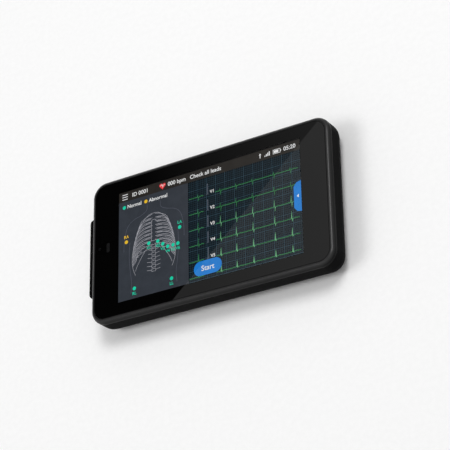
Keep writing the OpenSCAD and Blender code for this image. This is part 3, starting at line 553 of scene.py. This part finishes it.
TRACE_WIDTH = 0.23
TALL_WIDTH = 0.34
CALIBRATION_WIDTH = 0.17
NAME_X = 3.5
NAME_UP = 1.1  # above the lead's line
NAME_SIZE = 2.7


def spike(peak, dip):
    return [(-0.40, 0.0), (-0.12, peak), (0.14, -dip), (0.45, 0.0)]


def trace(y, peak, dip, start, end):
    """One lead's line from start to end, with the beats between them."""
    beat = P_WAVE + spike(peak, dip) + T_WAVE
    beats = [p for x in [FIRST_BEAT_X] + BEATS_X if start < x < end for p in placed(beat, x, y)]
    return [(start, y)] + [p for p in beats if start < p[0] < end] + [(end, y)]


def traces():
    strokes("heart_traces", [trace(*lead, *part) for lead in LEADS for part in LINE_PARTS], TRACE_WIDTH,
            "traces", "green")
    tall = [placed(spike(peak, dip), x, y) for y, peak, dip in LEADS if peak > TALL for x in BEATS_X]
    strokes("tall_peaks", tall, TALL_WIDTH, "marks", "bright_green")
    steps = [placed(CALIBRATION, 0.0, y) for y, _, _ in NAMED_LEADS]
    strokes("calibration_marks", steps, CALIBRATION_WIDTH, "figures", "grey")
    names = [(f"V{i}", NAME_X, y + NAME_UP, NAME_SIZE, "CENTER")
             for i, (y, _, _) in enumerate(NAMED_LEADS, 1)]
    lettering("lead_names", names, "marks", "white")


# ---- Electrodes and their legend ----

# Each spot: its name, its place, and how far above it the name stands.
TEAL_SPOTS = [("LA", -18.6, 1.9, 3.1), ("RL", -49.7, -28.2, -3.1), ("LL", -24.3, -28.2, -3.1),
              ("V1", -39.8, -2.7, -2.9), ("V2", -33.6, -2.9, -2.9), ("V3", -30.2, -5.5, -2.9),
              ("V4", -26.8, -7.9, -2.9), ("V5", -23.2, -7.9, -2.9), ("V6", -19.9, -7.8, -2.9)]
YELLOW_SPOTS = [("RA", -55.5, 2.0, 3.1)]
SPOT_R = 1.15
SPOT_NAME = 2.6
LEGEND_Y = 24.3
LEGEND_SIZE = 3.2
LEGEND_SPOTS = {"teal": -57.1, "yellow": -41.9}
LEGEND_WORDS = {"Normal": -55.0, "Abnormal": -39.8}


def spots(name, places, colour):
    discs = [disc(x, y, SPOT_R) for _, x, y, _ in places]
    shapes(name, discs + [disc(LEGEND_SPOTS[colour], LEGEND_Y, SPOT_R)], "marks", colour)


def spot_names(name, places, colour):
    words = [(text, x, y + up, SPOT_NAME, "CENTER") for text, x, y, up in places]
    lettering(name, words, "buttons", colour)


def electrodes():
    spots("good_electrodes", TEAL_SPOTS, "teal")
    spots("loose_electrodes", YELLOW_SPOTS, "yellow")
    spot_names("good_names", TEAL_SPOTS, "teal")
    spot_names("loose_names", YELLOW_SPOTS, "yellow")
    words = [(text, x, LEGEND_Y, LEGEND_SIZE, "LEFT") for text, x in LEGEND_WORDS.items()]
    lettering("legend", words, "marks", "white")


# ---- Status bar ----

STATUS_Y = 31.0  # middle of its words and icons
STATUS_SIZE = 3.5
STATUS_WORDS = {"ID 0001": -51.6, "000 bpm": -26.6, "Check all leads": -11.4, "05:20": 50.6}
MENU_LINE = (-58.5, -0.22, -54.7, 0.22)
MENU_HEIGHTS = (-1.5, 0.0, 1.5)
HEART_X = -30.3
HEART_SIZE = 4.4
PULSE = [(-1.7, 0.4), (-0.7, 0.4), (-0.3, 1.2), (0.2, -0.8), (0.6, 0.4), (1.7, 0.4)]
PULSE_WIDTH = 0.26
SIGNAL_BARS = 4
SIGNAL_X = 38.4
SIGNAL_STEP = 0.95
ARROW_X = 35.5
ARROW_HEAD = [(-0.8, 0.5), (0.8, 0.5), (0.0, 1.6)]
ARROW_SHAFT = (-0.25, -1.4, 0.25, 0.5)
BATTERY_X = 44.0
BATTERY_CASE = (0.0, -1.2, 4.5, 1.2)
BATTERY_CELL = (0.4, -0.8, 3.4, 0.8)
BATTERY_TIP = (4.7, -0.5, 5.1, 0.5)
BATTERY_WIDTH = 0.28


def heart(x, y, size):
    """Outline of a heart, from one round lobe to the other and down to the point."""
    r = size / 4.0
    lobes = arc(x + r, y, r, -20.0, 180.0, 10) + arc(x - r, y, r, 0.0, 200.0, 10)[1:]
    return lobes + [(x, y - size * 0.62)]


def status_items():
    menu = [placed(rectangle(*MENU_LINE), 0.0, STATUS_Y + dy) for dy in MENU_HEIGHTS]
    shapes("menu_icon", menu, "marks", "white")
    shapes("heart_icon", [heart(HEART_X, STATUS_Y + 0.5, HEART_SIZE)], "marks", "red")
    strokes("heart_pulse", [placed(PULSE, HEART_X, STATUS_Y)], PULSE_WIDTH, "buttons", "white")
    words = [(text, x, STATUS_Y, STATUS_SIZE, "LEFT") for text, x in STATUS_WORDS.items()]
    lettering("status_words", words, "marks", "white")
    signal = [placed(rectangle(0.0, -1.3, 0.6, 0.65 * i - 0.6), SIGNAL_X + SIGNAL_STEP * i, STATUS_Y)
              for i in range(SIGNAL_BARS)]
    arrow = [placed(outline, ARROW_X, STATUS_Y) for outline in (ARROW_HEAD, rectangle(*ARROW_SHAFT))]
    cell = [placed(rectangle(*box), BATTERY_X, STATUS_Y) for box in (BATTERY_CELL, BATTERY_TIP)]
    shapes("status_icons", signal + arrow + cell, "marks", "white")
    case = placed(rectangle(*BATTERY_CASE), BATTERY_X, STATUS_Y)
    strokes("battery_outline", [case + case[:2]], BATTERY_WIDTH, "marks", "white")


# ---- Buttons ----

START_BUTTON = (-9.3, -31.6, 9.1, -22.8, 4.35)
START_WORD = ("Start", -0.1, -27.5, 4.4, "CENTER")
SIDE_TAB = [(SCREEN_X, -9.5), (SCREEN_X, 9.1), (58.0, 8.4), (56.2, 6.2), (56.2, -6.6), (58.0, -8.8)]
SIDE_ARROW = [(58.0, 0.1), (59.3, 1.2), (59.3, -1.0)]


def buttons():
    shapes("start_button", [pill(*START_BUTTON)], "buttons", "blue")
    lettering("start_label", [START_WORD], "labels", "white")
    shapes("side_tab", [SIDE_TAB], "buttons", "blue")
    shapes("side_tab_arrow", [SIDE_ARROW], "labels", "white")


backgrounds()
grid()
chest()
traces()
electrodes()
status_items()
buttons()


# ---- Studio ----

FLOOR_HALF = 4.0
SKY = 0.45  # light of the surroundings on matt surfaces
LAMP_SIZE = 0.9
LAMPS = {"key_light": ((0.66, 0.70, 1.80), 16.0), "front_light": ((-0.98, -0.35, 1.77), 10.0)}  # place, watts


def plane(name, corners, material):
    mesh = bpy.data.meshes.new(name)
    mesh.from_pydata([tuple(c) for c in corners], [], [(0, 1, 2, 3)])
    mesh.materials.append(material)
    item = bpy.data.objects.new(name, mesh)
    bpy.context.scene.collection.objects.link(item)
    return item


def floor():
    m, nodes, links, shader = new_material("floor")
    shader.inputs["Roughness"].default_value = 0.9
    shader.inputs["Specular IOR Level"].default_value = 0.0
    paper = noise_of(nodes, links, 3.0, 2.0)
    two_tone(nodes, links, paper, (0.97, 0.97, 0.97, 1.0), (0.99, 0.99, 0.99, 1.0),
             shader.inputs["Base Color"])
    corners = rectangle(-FLOOR_HALF, -FLOOR_HALF, FLOOR_HALF, FLOOR_HALF)
    plane("floor", [(x, y, 0.0) for x, y in corners], m)


def world():
    """White to the camera and in reflections, dimmer as a lamp."""
    w = bpy.data.worlds.new("studio")
    bpy.context.scene.world = w
    w.use_nodes = True
    nodes, links = w.node_tree.nodes, w.node_tree.links
    back = nodes["Background"]
    back.inputs["Color"].default_value = (1.0, 1.0, 1.0, 1.0)
    path = nodes.new("ShaderNodeLightPath")
    strength = math_node(nodes, links, "MULTIPLY_ADD", path.outputs["Is Diffuse Ray"], SKY - 1.0, 1.0)
    links.new(strength, back.inputs["Strength"])


def lights():
    for name, (at, watts) in LAMPS.items():
        data = bpy.data.lights.new(name, "AREA")
        data.shape = "DISK"
        data.size = LAMP_SIZE
        data.energy = watts
        item = bpy.data.objects.new(name, data)
        bpy.context.scene.collection.objects.link(item)
        item.location = at
        item.rotation_euler = (-Vector(at)).to_track_quat("-Z", "Y").to_euler()


# Two cards that the cover glass mirrors, a dim and a bright one. The edge between them is the diagonal
# across the screen, from EDGE_LOW to EDGE_HIGH in millimetres on the glass.
EDGE_LOW = Vector((-21.0, -39.9))
EDGE_HIGH = Vector((69.3, 37.9))
CARD_SPAN = 400.0  # how far the cards go on beyond the edge's ends and to its sides
CARD_FAR = 1.4  # from the glass to the cards, in metres
GLOW_END_X = 78.0  # the glow grows up to here
# Where the glow starts to grow, and its strength there and at GLOW_END_X.
CARD_BRIGHT = (-20.0, 0.40, 0.56)
CARD_DIM = (-33.0, 0.02, 0.283)


def on_card(x_mm, y_mm):
    """Where the ray mirrored at a point of the glass meets the card."""
    point = Vector((x_mm * MM, y_mm * MM, GLASS_TOP))
    eye = Vector((CAMERA_AT.x, CAMERA_AT.y, 2 * GLASS_TOP - CAMERA_AT.z))
    way = Vector((-CAMERA_BACK.x, -CAMERA_BACK.y, CAMERA_BACK.z))
    ray = point - eye
    return eye + ray * ((CARD_FAR + (Vector((0, 0, GLASS_TOP)) - eye).dot(way)) / ray.dot(way))


def card_material(name, start_x, low, high):
    """Glow that grows from start_x on the glass to its right end."""
    m, nodes, links, shader = new_material(name)
    nodes.remove(shader)
    glow = nodes.new("ShaderNodeEmission")
    x = object_xyz(nodes, links)[0]
    ranged(nodes, links, x, low, high, glow.inputs["Strength"],
           band=(on_card(start_x, 0.0).x, on_card(GLOW_END_X, 0.0).x))
    links.new(glow.outputs[0], nodes["Material Output"].inputs["Surface"])
    return m


def cards():
    run = (EDGE_HIGH - EDGE_LOW).normalized() * CARD_SPAN
    side = Vector((-run.y, run.x))
    start, end = EDGE_LOW - run, EDGE_HIGH + run
    for name, shift, glow in (("dim_card", side, CARD_DIM), ("bright_card", -side, CARD_BRIGHT)):
        corners = [on_card(c.x, c.y) for c in (start, end, end + shift, start + shift)]
        card = plane(name, corners, card_material(name, *glow))
        card.visible_camera = False
        card.visible_diffuse = False
        card.visible_shadow = False


def camera():
    data = bpy.data.cameras.new("camera")
    data.lens = LENS
    data.sensor_width = SENSOR_WIDTH
    data.sensor_fit = "HORIZONTAL"
    data.clip_start = 0.01
    item = bpy.data.objects.new("camera", data)
    bpy.context.scene.collection.objects.link(item)
    turn = Matrix((CAMERA_RIGHT, CAMERA_UP, CAMERA_BACK)).transposed()
    item.matrix_world = Matrix.Translation(CAMERA_AT) @ turn.to_4x4()
    bpy.context.scene.camera = item


floor()
world()
cards()
lights()
camera()
bpy.context.scene.view_settings.view_transform = "Standard"
